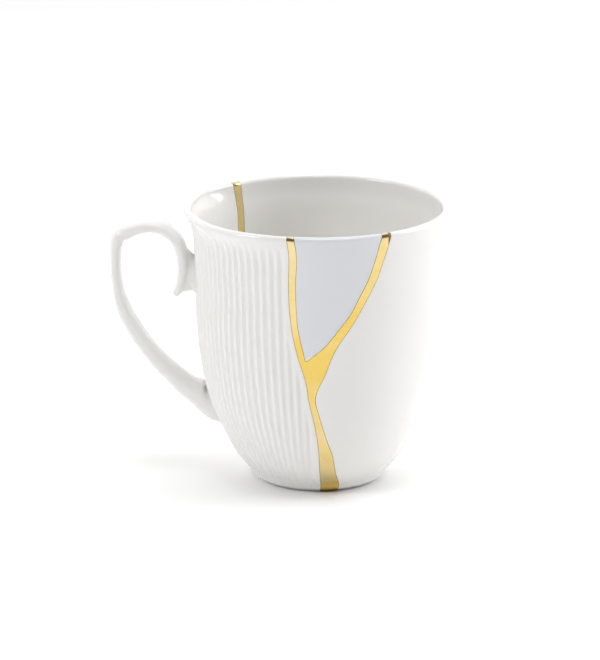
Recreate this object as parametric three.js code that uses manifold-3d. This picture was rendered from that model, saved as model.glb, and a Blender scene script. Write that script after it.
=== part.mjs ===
// A porcelain mug mended with gold: three shards of different cups, joined by one gold seam.
// Millimetres and degrees. +Z is up, the table is Z = 0, and the origin is the middle of the mug's footprint.
// An azimuth runs round the mug's axis from the front (-Y), positive towards the right (+X).
import * as THREE from "three";
import { mergeVertices } from "three/addons/utils/BufferGeometryUtils.js";
import Module from "manifold-3d";

// Size of the vessel
const HEIGHT = 96.7;
const RIM_RADIUS = 45.25;
const FOOT_RADIUS = 24.4;
const FOOT_HEIGHT = 3.4;
const FOOT_CONTACT_RADIUS = 21;
const FOOT_RING_WIDTH = 3;
const RECESS_DEPTH = 1.8;
const WALL_AT_LIP = 2.8;
const WALL_AT_FOOT = 3.6;
const FLOOR_THICKNESS = 3.8;

// Reeding of the ribbed shard
const REED_TURN = 3.85;
const REED_AZIMUTH = -18.9;
const REED_DEPTH = 0.55;
const REED_FULL_SHARE = 0.9;
const REED_START_BELOW_LIP = 2;
const REED_FADE = 5;
const REED_FADE_AT_FOOT = 2;
const REED_MARGIN_TURN = 1.6;

// Gold seam
const SEAM_GAP = 0.3;
const SEAM_AT_CENTRE = 3;
const REAR_SEAM_WIDTH = 3.4;

// Handle
const HANDLE_AZIMUTH = -94;
const HANDLE_REACH = 28.5;
const HANDLE_THICKNESS = 3.9;
const HANDLE_WIDTH = 10;
const HANDLE_ROOT_DEPTH = 1.6;
const HANDLE_ROOT_LENGTH = 13.2;
const HANDLE_ROOT_WIDTH = 13;
const HANDLE_ROOT_SHARE = 0.252;
const WEB_WIDTH = 7.8;
const WEB_SHARE = 0.74;
const ROUNDNESS = 2.6;

// How finely the curved faces are divided
const COLUMN_TURN = 12;
const REED_COLUMNS = 3;
const SECTION_SIDES = 12;

// Outer profiles: height as a share of the mug's height, radius as a share of the rim's.
const SMOOTH_PROFILE = [
  [0.063, 0.586],
  [0.0955, 0.6415],
  [0.1375, 0.695],
  [0.19, 0.7465],
  [0.254, 0.791],
  [0.327, 0.834],
  [0.423, 0.8765],
  [0.529, 0.918],
  [0.634, 0.942],
  [0.74, 0.962],
  [0.846, 0.978],
  [0.909, 0.9865],
  [0.952, 0.997],
  [1, 1],
];
const RIBBED_PROFILE = [
  [0.063, 0.588],
  [0.0955, 0.638],
  [0.1375, 0.69],
  [0.19, 0.744],
  [0.254, 0.808],
  [0.327, 0.859],
  [0.423, 0.901],
  [0.529, 0.9285],
  [0.634, 0.943],
  [0.74, 0.94],
  [0.846, 0.954],
  [0.909, 0.961],
  [0.952, 0.984],
  [0.983, 1.0175],
  [1, 1.034],
];

// Borders of the gold: height as a share of the mug's height, azimuth.
const RIBBED_BORDER = [
  [0, 2.6],
  [0.046, 1.1],
  [0.087, 0.4],
  [0.188, -0.4],
  [0.279, -2.1],
  [0.345, -4],
  [0.395, -5.4],
  [0.445, -6.1],
  [0.488, -7.4],
  [0.546, -9.6],
  [0.604, -11.4],
  [0.66, -12.7],
  [0.722, -13.5],
  [0.83, -13.8],
  [0.945, -13.5],
  [1, -14.4],
];
const SMOOTH_BORDER = [
  [0, 20.2],
  [0.042, 15.7],
  [0.084, 11.9],
  [0.137, 9.3],
  [0.171, 8.1],
  [0.204, 6],
  [0.279, 2.2],
  [0.345, -0.4],
  [0.396, -1.9],
  [0.44, -0.4],
  [0.492, 2.8],
  [0.548, 5.3],
  [0.607, 9],
  [0.659, 13.6],
  [0.765, 21.3],
  [0.848, 26.6],
  [0.933, 30],
  [1, 32.6],
];
const PALE_LEFT_BORDER = [
  [0.546, -6.5],
  [0.568, -7.1],
  [0.606, -8.2],
  [0.661, -9.6],
  [0.724, -10.2],
  [0.838, -10.4],
  [0.908, -9.9],
  [0.948, -10],
  [1, -11.1],
];
const PALE_RIGHT_BORDER = [
  [0.546, -5.8],
  [0.57, -1.9],
  [0.601, 2.5],
  [0.633, 5.9],
  [0.661, 8.6],
  [0.722, 14.3],
  [0.768, 17.2],
  [0.843, 21.9],
  [0.904, 24.5],
  [0.966, 26.5],
  [1, 28],
];
const REAR_SEAM_MIDDLE = [
  [0, -147],
  [0.2, -143],
  [0.41, -139],
  [0.62, -136.5],
  [0.83, -138.8],
  [0.92, -138.6],
  [1, -137.8],
];

// The flare of the ribbed lip dies out towards both seams.
const FLARE_FRONT = { starts: -8, full: -45 };
const FLARE_REAR = { starts: -142, full: -117 };

// Handle strip: distance out from the wall as a share of the reach, height as a share of the mug's,
// and how much thicker and wider than its middle the strip is there.
const HANDLE_PATH = [
  { out: 0.16, up: 0.302, thick: 2.2, wide: 1.12 },
  { out: 0.235, up: 0.3165, thick: 1.96, wide: 1.02 },
  { out: 0.338, up: 0.3496, thick: 1.75, wide: 0.96 },
  { out: 0.575, up: 0.4343, thick: 1.46, wide: 0.93 },
  { out: 0.757, up: 0.5217, thick: 1.36, wide: 0.92 },
  { out: 0.872, up: 0.5945, thick: 1.28, wide: 0.92 },
  { out: 0.939, up: 0.657, thick: 1.08, wide: 0.94 },
  { out: 0.976, up: 0.7273, thick: 0.96, wide: 0.97 },
  { out: 0.968, up: 0.7956, thick: 0.99, wide: 1 },
  { out: 0.943, up: 0.849, thick: 1.18, wide: 1.03 },
  { out: 0.899, up: 0.8785, thick: 1.32, wide: 1.04 },
  { out: 0.82, up: 0.8905, thick: 1.34, wide: 1.04 },
  { out: 0.6825, up: 0.9058, thick: 1.18, wide: 1.02 },
  { out: 0.492, up: 0.9149, thick: 1.13, wide: 1 },
  { out: 0.369, up: 0.9069, thick: 1.14, wide: 0.99 },
  { out: 0.2727, up: 0.885, thick: 1.04, wide: 0.98 },
  { out: 0.1975, up: 0.855, thick: 1.02, wide: 0.98 },
  { out: 0.1583, up: 0.8195, thick: 1.06, wide: 0.98 },
  { out: 0.148, up: 0.781, thick: 1.05, wide: 0.97 },
  { out: 0.162, up: 0.7424, thick: 1.03, wide: 0.94 },
  { out: 0.185, up: 0.704, thick: 0.98, wide: 0.9 },
  { out: 0.211, up: 0.683, thick: 0.9, wide: 0.83 },
  { out: 0.236, up: 0.6705, thick: 0.74, wide: 0.72 },
];

// Web between the wall and the curled end: distance out by the same measure, heights of its lower and
// upper edge as shares of the mug's, and how much wider than its middle it is there.
const WEB_PATH = [
  { out: 0, low: 0.664, high: 0.806, wide: 1 },
  { out: 0.04, low: 0.6745, high: 0.811, wide: 0.96 },
  { out: 0.095, low: 0.675, high: 0.826, wide: 0.975 },
  { out: 0.147, low: 0.671, high: 0.838, wide: 1 },
  { out: 0.19, low: 0.674, high: 0.8, wide: 0.9 },
];

// Rings across the base, as shares of the foot's radius below and of the inner floor's radius above.
const CENTRE_MARGIN = 1.1;
const BASE_SHARES = { centre: 0.22, middle: 0.5 };
const FLOOR_SHARES = { recess: 0.68, ring: 0.78, contact: 0.87, footLow: 0.91, footHigh: 0.95 };

// Points on the rounded face of the foot, as shares of its flare and of its height.
const FOOT_LOW = { out: 0.32, up: 0.18 };
const FOOT_HIGH = { out: 0.8, up: 0.5 };

// Heights of the rings up the wall, as shares of the mug's. One is the pale shard's point, and
// another lies just above it.
const TIP_SHARE = 0.546;
const WALL_SHARES = [
  0.057, 0.09, 0.135, 0.185, 0.235, 0.285, 0.345, 0.396, 0.44, 0.49, TIP_SHARE, 0.552, 0.57, 0.605, 0.66,
  0.722, 0.8, 0.86, 0.91, 0.942, 0.965,
];
const LIP_TURNS = [30, 60, 90];

const radians = THREE.MathUtils.degToRad;
const degrees = THREE.MathUtils.radToDeg;
const lerp = THREE.MathUtils.lerp;

// A smooth function through [x, y] points: each piece is a cubic, and its slope at a point is
// that of the parabola through the point and its two neighbours. Flat beyond both ends.
function smoothCurve(points) {
  const chord = points.slice(1).map(([x, y], i) => (y - points[i][1]) / (x - points[i][0]));
  const slope = points.map((point, i) => {
    if (i === 0) return chord[0];
    if (i === points.length - 1) return chord[i - 1];
    const before = point[0] - points[i - 1][0];
    const after = points[i + 1][0] - point[0];
    return (chord[i - 1] * after + chord[i] * before) / (before + after);
  });
  return (x) => {
    if (x <= points[0][0]) return points[0][1];
    if (x >= points.at(-1)[0]) return points.at(-1)[1];
    const i = points.findIndex((point) => point[0] > x) - 1;
    const width = points[i + 1][0] - points[i][0];
    const t = (x - points[i][0]) / width;
    const bend = t * t * (3 - 2 * t);
    return (
      points[i][1] * (1 - bend) +
      points[i + 1][1] * bend +
      width * t * (1 - t) * (slope[i] * (1 - t) - slope[i + 1] * t)
    );
  };
}

const smoothstep = (x, from, to) => {
  const t = THREE.MathUtils.clamp((x - from) / (to - from), 0, 1);
  return t * t * (3 - 2 * t);
};
const ramp = (x, from, to) => THREE.MathUtils.clamp((x - from) / (to - from), 0, 1);

// Outer radius of a shard's wall, and the wall's thickness, by height.
const LIP_ROUNDING = WALL_AT_LIP / 2;
const WALL_TOP = HEIGHT - LIP_ROUNDING;
function outerProfile(points) {
  const share = smoothCurve([[FOOT_HEIGHT / WALL_TOP, FOOT_RADIUS / RIM_RADIUS], ...points]);
  return (height) => RIM_RADIUS * share(height / WALL_TOP);
}
const outerRadius = {
  smooth: outerProfile(SMOOTH_PROFILE),
  ribbed: outerProfile(RIBBED_PROFILE),
};
const wallAt = (height) => lerp(WALL_AT_FOOT, WALL_AT_LIP, ramp(height, 0, WALL_TOP));

// The inner wall lies one wall thickness in along the outer wall's normal, which is turned
// level over the last stretch below the lip, where both walls meet the lip's rounding.
const LEVEL_STRETCH = 9;
function innerPoint(profile, height) {
  const step = 0.25;
  const rise = 2 * step;
  const run = profile(Math.min(height + step, WALL_TOP)) - profile(height - step);
  const level = smoothstep(height, WALL_TOP - LEVEL_STRETCH, WALL_TOP);
  const lean = Math.atan2(run, rise) * (1 - level);
  const wall = wallAt(height);
  return [profile(height) - wall * Math.cos(lean), height + wall * Math.sin(lean)];
}

// Stations run from the middle of the base, out under the foot and up the wall to the crest of the lip.
// Each has its [radius, height] on the outer and the inner face, for a smooth and for a ribbed wall.
const FLOOR_TOP = RECESS_DEPTH + FLOOR_THICKNESS;
const RING_INNER_RADIUS = FOOT_CONTACT_RADIUS - FOOT_RING_WIDTH;
const FLOOR_RADIUS = innerPoint(outerRadius.smooth, FOOT_HEIGHT)[0];
const STATIONS = [];

// The innermost ring is just wide enough for both of a seam's borders to cross it.
const CENTRE_RADIUS = CENTRE_MARGIN * (SEAM_AT_CENTRE / 2 + SEAM_GAP);

const footPoint = ({ out, up }) => [lerp(FOOT_CONTACT_RADIUS, FOOT_RADIUS, out), up * FOOT_HEIGHT];

function baseStation(outer, innerRadius) {
  const inner = [innerRadius, FLOOR_TOP];
  STATIONS.push({
    base: true,
    height: 0,
    outer: { smooth: outer, ribbed: outer },
    inner: { smooth: inner, ribbed: inner },
  });
}
baseStation([CENTRE_RADIUS, RECESS_DEPTH], CENTRE_RADIUS);
baseStation([BASE_SHARES.centre * FOOT_RADIUS, RECESS_DEPTH], BASE_SHARES.centre * FLOOR_RADIUS);
baseStation([BASE_SHARES.middle * FOOT_RADIUS, RECESS_DEPTH], BASE_SHARES.middle * FLOOR_RADIUS);
baseStation([RING_INNER_RADIUS - RECESS_DEPTH, RECESS_DEPTH], FLOOR_SHARES.recess * FLOOR_RADIUS);
baseStation([RING_INNER_RADIUS, 0], FLOOR_SHARES.ring * FLOOR_RADIUS);
baseStation([FOOT_CONTACT_RADIUS, 0], FLOOR_SHARES.contact * FLOOR_RADIUS);
baseStation(footPoint(FOOT_LOW), FLOOR_SHARES.footLow * FLOOR_RADIUS);
baseStation(footPoint(FOOT_HIGH), FLOOR_SHARES.footHigh * FLOOR_RADIUS);

for (const height of [FOOT_HEIGHT, ...WALL_SHARES.map((share) => share * HEIGHT), WALL_TOP]) {
  const station = { base: false, height, outer: {}, inner: {} };
  for (const kind of ["smooth", "ribbed"]) {
    station.outer[kind] = [outerRadius[kind](height), height];
    station.inner[kind] = innerPoint(outerRadius[kind], height);
  }
  STATIONS.push(station);
}
for (const turn of LIP_TURNS) {
  const up = LIP_ROUNDING * Math.sin(radians(turn));
  const across = LIP_ROUNDING * Math.cos(radians(turn));
  const station = { base: false, height: WALL_TOP + up, outer: {}, inner: {} };
  for (const kind of ["smooth", "ribbed"]) {
    const middle = outerRadius[kind](WALL_TOP) - LIP_ROUNDING;
    station.outer[kind] = [middle + across, WALL_TOP + up];
    station.inner[kind] = [middle - across, WALL_TOP + up];
  }
  STATIONS.push(station);
}
const CREST = STATIONS.length - 1;
const FOOT = STATIONS.findIndex((station) => !station.base);
const TIP = STATIONS.findIndex((station) => station.height === TIP_SHARE * HEIGHT);

// How far the wall at an azimuth follows the flared, ribbed profile: 0 smooth, 1 ribbed.
function flare(azimuth) {
  const front = ramp(azimuth, FLARE_FRONT.starts, FLARE_FRONT.full);
  const rear = ramp(azimuth, FLARE_REAR.starts, FLARE_REAR.full);
  return azimuth < FLARE_FRONT.starts && azimuth > FLARE_REAR.starts ? Math.min(front, rear) : 0;
}

// Depth of the groove between two reeds, 0 on a reed's crest and 1 in a groove.
function groove(azimuth) {
  return (1 - Math.cos((2 * Math.PI * (azimuth - REED_AZIMUTH)) / REED_TURN)) / 2;
}

// Azimuths of the gold's borders by height. A border between gold and a shard can be inset into the shard.
const share = (curve) => (height) => curve(height / HEIGHT);
const rearMiddle = share(smoothCurve(REAR_SEAM_MIDDLE));
const rearHalf = (height) => {
  const radius = outerRadius.smooth(Math.max(height, FOOT_HEIGHT));
  return degrees(Math.asin(REAR_SEAM_WIDTH / 2 / radius));
};
const FRONT = {
  left: share(smoothCurve(RIBBED_BORDER)),
  right: share(smoothCurve(SMOOTH_BORDER)),
};
const REAR = {
  left: (height) => rearMiddle(height) - rearHalf(height),
  right: (height) => rearMiddle(height) + rearHalf(height),
};
const PALE = {
  left: share(smoothCurve(PALE_LEFT_BORDER)),
  right: share(smoothCurve(PALE_RIGHT_BORDER)),
};

// A seam's border at a station. On the base the seam is a straight band through the middle, whose
// half width goes evenly from that at the foot to that at the centre.
function seamBorder(seam, side, station, face, inset) {
  const sign = side === "left" ? -1 : 1;
  const radius = station[face].smooth[0];
  if (!station.base) return seam[side](station.height) + sign * degrees(inset / radius);
  const middle = (seam.left(FOOT_HEIGHT) + seam.right(FOOT_HEIGHT)) / 2;
  const halfTurn = (seam.right(FOOT_HEIGHT) - seam.left(FOOT_HEIGHT)) / 2;
  const footRadius = STATIONS[FOOT][face].smooth[0];
  const atFoot = footRadius * Math.sin(radians(halfTurn));
  const half = lerp(SEAM_AT_CENTRE / 2, atFoot, radius / footRadius) + inset;
  return middle + sign * degrees(Math.asin(half / radius));
}

function faceAt(station, face, azimuth, shape) {
  const weight = shape.flared ? flare(azimuth) : 0;
  const [smoothR, smoothZ] = station[face].smooth;
  const [ribbedR, ribbedZ] = station[face].ribbed;
  let radius = lerp(smoothR, ribbedR, weight);
  if (shape.reeds && face === "outer") radius -= shape.reeds(station, azimuth) * groove(azimuth);
  const turn = radians(azimuth);
  return [radius * Math.sin(turn), -radius * Math.cos(turn), lerp(smoothZ, ribbedZ, weight)];
}

// A mesh being put together from triangles of [x, y, z] corners.
const triangle = (mesh, a, b, c) => mesh.push(...a, ...b, ...c);
function quad(mesh, a, b, c, d) {
  triangle(mesh, a, b, c);
  triangle(mesh, a, c, d);
}

// Joins two rows of points that may differ in number, advancing on the one whose next azimuth is nearer.
function joinRows(mesh, lower, upper) {
  let i = 0;
  let j = 0;
  while (i < lower.length - 1 || j < upper.length - 1) {
    const lowerNext = i < lower.length - 1 ? lower[i + 1].azimuth : Infinity;
    const upperNext = j < upper.length - 1 ? upper[j + 1].azimuth : Infinity;
    if (lowerNext <= upperNext) {
      triangle(mesh, lower[i].at, lower[i + 1].at, upper[j].at);
      i += 1;
    } else {
      triangle(mesh, lower[i].at, upper[j + 1].at, upper[j].at);
      j += 1;
    }
  }
}

// A stretch of wall between two borders, from one station to another: its outer and inner face,
// and the broken edges that it shows on the left, on the right and at its lower end.
function addPanel(mesh, shape, from, to) {
  const rows = { outer: [], inner: [] };
  for (let k = from; k <= to; k += 1) {
    for (const face of ["outer", "inner"]) {
      const left = shape.left(STATIONS[k], face, k);
      const right = shape.right(STATIONS[k], face, k);
      rows[face].push(
        shape.columns(STATIONS[k], face, left, right, k).map((azimuth) => ({
          azimuth,
          at: faceAt(STATIONS[k], face, azimuth, shape),
        })),
      );
    }
    if (k === CREST) rows.inner[k - from] = rows.outer[k - from];
  }
  for (let k = 0; k < to - from; k += 1) {
    joinRows(mesh, rows.outer[k], rows.outer[k + 1]);
    const inside = [];
    joinRows(inside, rows.inner[k], rows.inner[k + 1]);
    for (let i = 0; i < inside.length; i += 9) {
      triangle(mesh, inside.slice(i, i + 3), inside.slice(i + 6, i + 9), inside.slice(i + 3, i + 6));
    }
    const edge = (face, row, end) => rows[face][row].at(end).at;
    if (shape.edges.left(from + k)) {
      quad(mesh, edge("outer", k, 0), edge("outer", k + 1, 0), edge("inner", k + 1, 0), edge("inner", k, 0));
    }
    if (shape.edges.right(from + k)) {
      quad(mesh, edge("outer", k, -1), edge("inner", k, -1), edge("inner", k + 1, -1), edge("outer", k + 1, -1));
    }
  }
  if (shape.edges.lower) joinRows(mesh, rows.inner[0], rows.outer[0]);
  return rows;
}

// Evenly spaced columns, as many as the step asks for.
function evenColumns(step) {
  return (station, face, left, right) => {
    const count = Math.max(1, Math.round((right - left) / step));
    return Array.from({ length: count + 1 }, (unused, i) => lerp(left, right, i / count));
  };
}

const always = () => true;
const everyEdge = { left: always, right: always, lower: true };

// Ribbed shard. Its columns follow the reeds on the outer wall, with one in each groove.
function reedColumns(station, face, left, right) {
  if (station.base || face === "inner" || station.height > WALL_TOP) {
    return evenColumns(COLUMN_TURN)(station, face, left, right);
  }
  const step = REED_TURN / REED_COLUMNS;
  const first = REED_AZIMUTH + REED_TURN / 2;
  const columns = [left];
  for (let i = Math.ceil((left + step / 4 - first) / step); first + i * step < right - step / 4; i += 1) {
    columns.push(first + i * step);
  }
  columns.push(right);
  return columns;
}

// The reeds fade out towards the lip, at the foot and beside both seams, and grow shallower with the
// square of the radius where the wall is narrow.
function reedDepth(station, azimuth) {
  const height = station.height;
  const below = WALL_TOP - REED_START_BELOW_LIP;
  const left = REAR.right(height) + REED_MARGIN_TURN;
  const right = FRONT.left(height) - REED_MARGIN_TURN;
  const beside = ramp(azimuth, left, left + REED_TURN / 2) * ramp(azimuth, right, right - REED_TURN / 2);
  const lip = 1 - smoothstep(height, below - REED_FADE, below);
  const foot = ramp(height, 0, REED_FADE_AT_FOOT);
  const narrow = Math.min(1, outerRadius.ribbed(height) / (REED_FULL_SHARE * RIM_RADIUS));
  return REED_DEPTH * narrow ** 2 * beside * lip * foot;
}

const ribbedShape = {
  flared: true,
  reeds: reedDepth,
  left: (station, face) => seamBorder(REAR, "right", station, face, SEAM_GAP),
  right: (station, face) => seamBorder(FRONT, "left", station, face, SEAM_GAP),
  columns: reedColumns,
  edges: everyEdge,
};
const smoothShape = {
  left: (station, face) => seamBorder(FRONT, "right", station, face, SEAM_GAP),
  right: (station, face) => seamBorder(REAR, "left", station, face, SEAM_GAP) + 360,
  columns: evenColumns(COLUMN_TURN),
  edges: everyEdge,
};

// Pale shard: a triangle with its point down. It starts one station above the crotch of the gold.
const paleInset = (station, face) => degrees(SEAM_GAP / station[face].smooth[0]);
const paleShape = {
  left: (station, face) => PALE.left(station.height) + paleInset(station, face),
  right: (station, face) => PALE.right(station.height) - paleInset(station, face),
  columns: evenColumns(COLUMN_TURN),
  edges: everyEdge,
};

// Gold: two arms from the rim that meet at the pale shard's point and go on as one stem, down
// across the foot and the base, and up the back to the rim again.
const goldColumns = (station, face, left, right) => [left, right];
const crotch = (station, face, border) => {
  if (station.height > STATIONS[TIP].height) return border;
  if (station === STATIONS[TIP]) return (PALE.left(station.height) + PALE.right(station.height)) / 2;
  const left = seamBorder(FRONT, "left", station, face, 0);
  const right = seamBorder(FRONT, "right", station, face, 0);
  return (left + right) / 2;
};
const leftArmShape = {
  flared: true,
  left: (station, face) => seamBorder(FRONT, "left", station, face, 0),
  right: (station, face) => crotch(station, face, PALE.left(station.height)),
  columns: goldColumns,
  edges: { left: always, right: (k) => k >= TIP, lower: false },
};
const rightArmShape = {
  left: (station, face) => crotch(station, face, PALE.right(station.height)),
  right: (station, face) => seamBorder(FRONT, "right", station, face, 0),
  columns: goldColumns,
  edges: { left: (k) => k >= TIP, right: always, lower: false },
};
const rearShape = {
  flared: true,
  left: (station, face) => seamBorder(REAR, "left", station, face, 0),
  right: (station, face) => seamBorder(REAR, "right", station, face, 0),
  columns: goldColumns,
  edges: { left: always, right: always, lower: false },
};

// The three bands of gold meet in a small plate at the middle of the base.
function addGoldCentre(mesh, leftArm, rightArm, rear) {
  const ring = (face) => [
    leftArm[face][0][0].at,
    rightArm[face][0][0].at,
    rightArm[face][0].at(-1).at,
    rear[face][0][0].at,
    rear[face][0].at(-1).at,
  ];
  const under = ring("outer");
  const top = ring("inner");
  for (let i = 1; i < under.length - 1; i += 1) {
    triangle(mesh, under[0], under[i + 1], under[i]);
    triangle(mesh, top[0], top[i], top[i + 1]);
  }
  quad(mesh, under[2], under[3], top[3], top[2]);
  quad(mesh, under[4], under[0], top[0], top[4]);
}

// Handle: a rounded strip swept along its path in the upright plane through the mug's axis.
const handleTurn = radians(HANDLE_AZIMUTH);
const OUTWARD = new THREE.Vector3(Math.sin(handleTurn), -Math.cos(handleTurn), 0);
const SIDEWAYS = new THREE.Vector3(Math.cos(handleTurn), Math.sin(handleTurn), 0);

// A section is a superellipse: rounder than a rectangle, fuller than an ellipse.
function section(centre, across, halfThick, halfWide) {
  const power = 2 / ROUNDNESS;
  return Array.from({ length: SECTION_SIDES }, (unused, i) => {
    const turn = (-2 * Math.PI * i) / SECTION_SIDES;
    const x = Math.sign(Math.cos(turn)) * Math.abs(Math.cos(turn)) ** power;
    const y = Math.sign(Math.sin(turn)) * Math.abs(Math.sin(turn)) ** power;
    return centre.clone().addScaledVector(across, x * halfThick).addScaledVector(SIDEWAYS, y * halfWide);
  });
}

function loft(sections) {
  const mesh = [];
  const middle = (ring) => ring.reduce((sum, p) => sum.add(p), new THREE.Vector3()).divideScalar(ring.length);
  const corner = (ring, i) => ring[i % SECTION_SIDES].toArray();
  sections.slice(1).forEach((ring, k) => {
    for (let i = 0; i < SECTION_SIDES; i += 1) {
      quad(mesh, corner(sections[k], i), corner(sections[k], i + 1), corner(ring, i + 1), corner(ring, i));
    }
  });
  const start = middle(sections[0]).toArray();
  const end = middle(sections.at(-1)).toArray();
  for (let i = 0; i < SECTION_SIDES; i += 1) {
    triangle(mesh, start, corner(sections[0], i + 1), corner(sections[0], i));
    triangle(mesh, end, corner(sections.at(-1), i), corner(sections.at(-1), i + 1));
  }
  return mesh;
}

// A point beyond the wall at a height, in the handle's plane.
function beyondWall(out, height) {
  return OUTWARD.clone().multiplyScalar(outerRadius.ribbed(height) + out).setZ(height);
}

function handleSections() {
  const centres = HANDLE_PATH.map(({ out, up }) => beyondWall(out * HANDLE_REACH, up * HEIGHT));
  const strip = HANDLE_PATH.map((point, i) => {
    const before = centres[Math.max(i - 1, 0)];
    const after = centres[Math.min(i + 1, centres.length - 1)];
    const across = after.clone().sub(before).cross(SIDEWAYS).normalize();
    const halfThick = (HANDLE_THICKNESS * point.thick) / 2;
    return section(centres[i], across, halfThick, (HANDLE_WIDTH * point.wide) / 2);
  });
  // The root is flared and lies along the leaning wall, half sunk in it.
  const rootHeight = HANDLE_ROOT_SHARE * HEIGHT;
  const quarter = HANDLE_ROOT_LENGTH / 4;
  const lean = beyondWall(0, rootHeight + quarter).sub(beyondWall(0, rootHeight - quarter)).normalize();
  const root = [-HANDLE_ROOT_DEPTH, 0].map((out) =>
    section(beyondWall(out, rootHeight), lean, HANDLE_ROOT_LENGTH / 2, HANDLE_ROOT_WIDTH / 2),
  );
  return [...root, ...strip];
}

// Web: a bridge that ties the curled end of the strip to the wall.
function webSections() {
  const up = new THREE.Vector3(0, 0, 1);
  const sunk = { ...WEB_PATH[0], out: -HANDLE_ROOT_DEPTH / HANDLE_REACH };
  return [sunk, ...WEB_PATH].map(({ out, low, high, wide }) => {
    const centre = beyondWall(out * HANDLE_REACH, WEB_SHARE * HEIGHT).setZ(((low + high) / 2) * HEIGHT);
    return section(centre, up, ((high - low) / 2) * HEIGHT, (wide * WEB_WIDTH) / 2);
  });
}

// Closed solids, joined where one piece is made of several
const wasm = await Module();
wasm.setup();

function geometryOf(corners) {
  const geometry = new THREE.BufferGeometry();
  geometry.setAttribute("position", new THREE.Float32BufferAttribute(corners, 3));
  return mergeVertices(geometry, 1e-3);
}

function solidOf(corners) {
  const geometry = geometryOf(corners);
  return new wasm.Manifold(
    new wasm.Mesh({
      numProp: 3,
      vertProperties: geometry.attributes.position.array,
      triVerts: new Uint32Array(geometry.index.array),
    }),
  );
}

function geometryOfSolid(solid) {
  const made = solid.getMesh();
  const geometry = new THREE.BufferGeometry();
  geometry.setAttribute("position", new THREE.BufferAttribute(made.vertProperties, 3));
  geometry.setIndex(new THREE.BufferAttribute(made.triVerts, 1));
  return geometry;
}

const white = { color: 0xf4f4f1, roughness: 0.12, metalness: 0 };
const pale = { color: 0xe2e5ec, roughness: 0.12, metalness: 0 };
const gold = { color: 0xe6bf62, roughness: 0.18, metalness: 1 };

function namedMesh(name, geometry, finish) {
  const mesh = new THREE.Mesh(geometry, new THREE.MeshStandardMaterial(finish));
  mesh.name = name;
  return mesh;
}

function ribbedShard() {
  const wall = [];
  addPanel(wall, ribbedShape, 0, CREST);
  const solid = solidOf(wall).add(solidOf(loft(handleSections()))).add(solidOf(loft(webSections())));
  return namedMesh("ribbed_shard", geometryOfSolid(solid), white);
}

function smoothShard() {
  const wall = [];
  addPanel(wall, smoothShape, 0, CREST);
  return namedMesh("smooth_shard", geometryOf(wall), white);
}

function paleShard() {
  const wall = [];
  addPanel(wall, paleShape, TIP + 1, CREST);
  return namedMesh("pale_shard", geometryOf(wall), pale);
}

function goldSeam() {
  const seam = [];
  const leftArm = addPanel(seam, leftArmShape, 0, CREST);
  const rightArm = addPanel(seam, rightArmShape, 0, CREST);
  const rear = addPanel(seam, rearShape, 0, CREST);
  addGoldCentre(seam, leftArm, rightArm, rear);
  return namedMesh("gold_seam", geometryOf(seam), gold);
}

const group = new THREE.Group();
group.add(ribbedShard(), paleShard(), smoothShard(), goldSeam());

// The mug stands with the middle of its footprint, handle included, at the origin.
const extent = new THREE.Box3().setFromObject(group);
group.position.set(-(extent.min.x + extent.max.x) / 2, -(extent.min.y + extent.max.y) / 2, 0);

export default group;
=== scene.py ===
"""The looks of a porcelain mug that was broken and mended with gold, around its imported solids.

Metres, +Z up, the mug stands on Z = 0. Sizes are written in millimetres and turned to metres where
a mesh is made. An azimuth runs round the cup's axis from the front (-Y), positive towards +X.
"""

import math

import bmesh
import bpy
import numpy as np
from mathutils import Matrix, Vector


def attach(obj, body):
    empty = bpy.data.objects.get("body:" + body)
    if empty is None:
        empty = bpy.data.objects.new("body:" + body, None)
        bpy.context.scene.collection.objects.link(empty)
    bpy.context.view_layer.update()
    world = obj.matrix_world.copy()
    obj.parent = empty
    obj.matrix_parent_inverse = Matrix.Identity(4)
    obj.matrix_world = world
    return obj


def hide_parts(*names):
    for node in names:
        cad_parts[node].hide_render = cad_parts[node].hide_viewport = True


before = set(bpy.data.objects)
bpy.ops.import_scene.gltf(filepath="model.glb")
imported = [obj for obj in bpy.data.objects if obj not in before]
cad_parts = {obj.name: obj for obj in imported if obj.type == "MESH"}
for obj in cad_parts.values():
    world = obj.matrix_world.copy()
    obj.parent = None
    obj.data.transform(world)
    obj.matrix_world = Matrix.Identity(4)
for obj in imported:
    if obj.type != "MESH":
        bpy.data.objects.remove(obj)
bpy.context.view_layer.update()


# Fluted shard, the wall.
# Half of a porcelain cup, slip-cast in a fluted mould and glazed: narrow upright reeds, softened by
# the glaze, and a lip that flares out. Its two long sides are broken edges, worn a little round.

MM = 0.001
AXIS_X = 13.507
AXIS_Y = 0.053
HEIGHT = 96.7
RIM_RADIUS = 45.25
LIP_ROUNDING = 1.4
WALL_TOP = HEIGHT - LIP_ROUNDING
WALL_AT_FOOT = 3.6
WALL_AT_LIP = 2.8
FOOT_RADIUS = 24.4
FOOT_HEIGHT = 3.4
RECESS_DEPTH = 1.8
FLOOR_TOP = 5.6
# Radius of the small plate that closes the middle of the base.
CENTRE_RADIUS = 1.67
# Below the lip, the stretch over which the inner face comes level with the outer one.
LEVEL_STRETCH = 9.0
# The half circle over the lip, in radians, without its two ends.
LIP_TURN = np.radians(np.linspace(0, 180, 17)[1:-1])

# Under the base, radius and height: the recess, its slope, the foot ring's flat and its outside.
BASE_CORNERS = np.array([
    (CENTRE_RADIUS, RECESS_DEPTH), (16.2, RECESS_DEPTH), (18, 0), (21, 0), (22.09, 0.61),
    (23.72, 1.7), (FOOT_RADIUS, FOOT_HEIGHT),
])
# Its corners are rounded by a moving average over short steps of the run: the steps' length, how
# many lie on each side, and how many the bell of their weights spreads over.
CORNER_STEP = 0.05
CORNER_REACH = 20
CORNER_SPREAD = 8

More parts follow.
